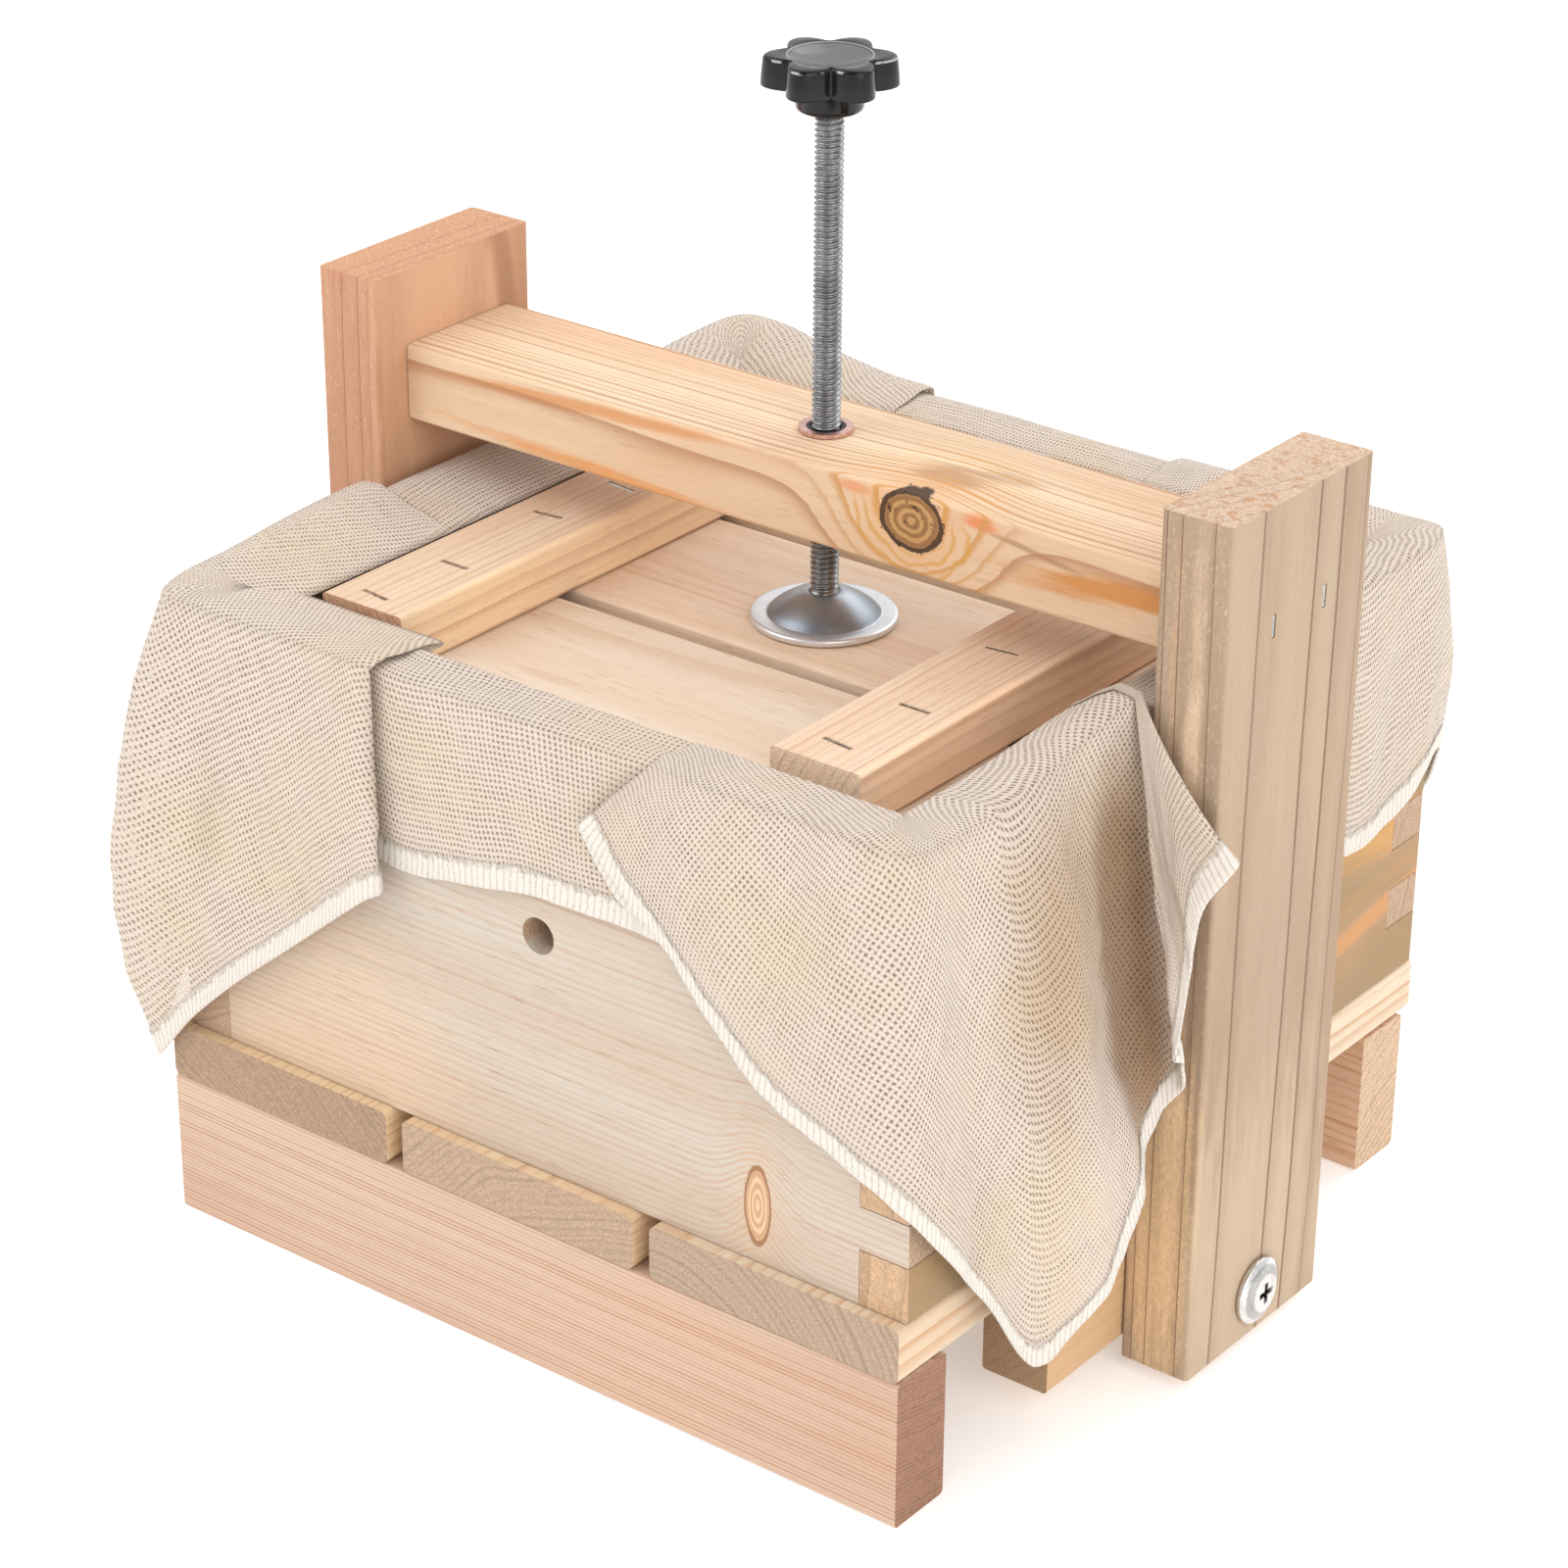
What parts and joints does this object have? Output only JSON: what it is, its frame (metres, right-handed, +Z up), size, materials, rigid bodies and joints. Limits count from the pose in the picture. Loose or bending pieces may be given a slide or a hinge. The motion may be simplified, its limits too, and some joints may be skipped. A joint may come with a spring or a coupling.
{
  "type": "cheese press",
  "caption": "Wooden cheese press with a finger-jointed square mould, cloth lining, slatted base, bolted frame and a hand screw that drives a pressing board.",
  "frame": {"origin": "on the floor, under the centre of the base's footprint", "axes": "+X to the right along the front, +Y to the back, +Z up along the screw; the front is the side with the drain hole"},
  "size_m": [0.3064, 0.2628, 0.328],
  "materials": {
    "pine": "planed bare pine with fine grain",
    "pine_pink": "bare pine, pinker and more weathered",
    "cheesecloth": "open plain-weave cotton with a stitched white hem",
    "staple_wire": "galvanised flat wire",
    "zinc_steel": "bright zinc plate",
    "insert_brass": "turned, slightly dull",
    "black_plastic": "glossy black"
  },
  "bodies": {
    "press": {"base_slat_left": "pine", "base_slat_middle": "pine", "base_slat_right": "pine", "side_block_left": "pine", "side_block_right": "pine", "mould_wall_front": "pine", "mould_wall_rear": "pine", "mould_wall_left": "pine", "mould_wall_right": "pine", "upright_right": "pine", "crossbeam": "pine", "runner_front": "pine_pink", "runner_rear": "pine_pink", "upright_left": "pine_pink", "cheesecloth_lining": "cheesecloth", "cheesecloth_corner_front_left": "cheesecloth", "cheesecloth_corner_front_right": "cheesecloth", "cheesecloth_corner_rear_left": "cheesecloth", "cheesecloth_corner_rear_right": "cheesecloth", "base_staple_1": "staple_wire", "base_staple_2": "staple_wire", "base_staple_3": "staple_wire", "base_staple_4": "staple_wire", "base_staple_5": "staple_wire", "base_staple_6": "staple_wire", "block_staple_1": "staple_wire", "block_staple_2": "staple_wire", "block_staple_3": "staple_wire", "block_staple_4": "staple_wire", "crossbeam_staple_1": "staple_wire", "crossbeam_staple_2": "staple_wire", "crossbeam_staple_3": "staple_wire", "crossbeam_staple_4": "staple_wire", "frame_bolt_left": "zinc_steel", "frame_bolt_right": "zinc_steel", "crossbeam_insert": "insert_brass", "block_insert_left": "insert_brass", "block_insert_right": "insert_brass"},
    "foot": {"foot_plate": "zinc_steel"},
    "screw": {"threaded_rod": "zinc_steel", "star_knob": "black_plastic", "knob_insert": "insert_brass"},
    "pressing_board": {"board_slat_front": "pine", "board_slat_middle": "pine", "board_slat_rear": "pine", "board_batten_left": "pine", "board_batten_right": "pine", "board_staple_1": "staple_wire", "board_staple_2": "staple_wire", "board_staple_3": "staple_wire", "board_staple_4": "staple_wire", "board_staple_5": "staple_wire", "board_staple_6": "staple_wire", "board_staple_7": "staple_wire", "board_staple_8": "staple_wire", "board_staple_9": "staple_wire", "board_staple_10": "staple_wire", "board_staple_11": "staple_wire", "board_staple_12": "staple_wire"}
  },
  "joints": [
    {"name": "foot_feed", "type": "slide", "parent": "press", "child": "foot", "axis": [0, 0, 1], "range_m": [-0.084, 0.014]},
    {"name": "screw_spin", "type": "hinge", "parent": "foot", "child": "screw", "pos_m": [0.0014, 0.0068, 0.2], "axis": [0, 0, 1], "range_deg": [-20170, 3370]},
    {"name": "board_press", "type": "slide", "parent": "press", "child": "pressing_board", "axis": [0, 0, 1], "range_m": [-0.0845, 0.0145]}
  ],
  "couplings": [
    {"joint": "screw_spin", "follows": "foot_feed", "rad_per_m": 4188.8},
    {"joint": "board_press", "follows": "foot_feed", "ratio": 1}
  ]
}
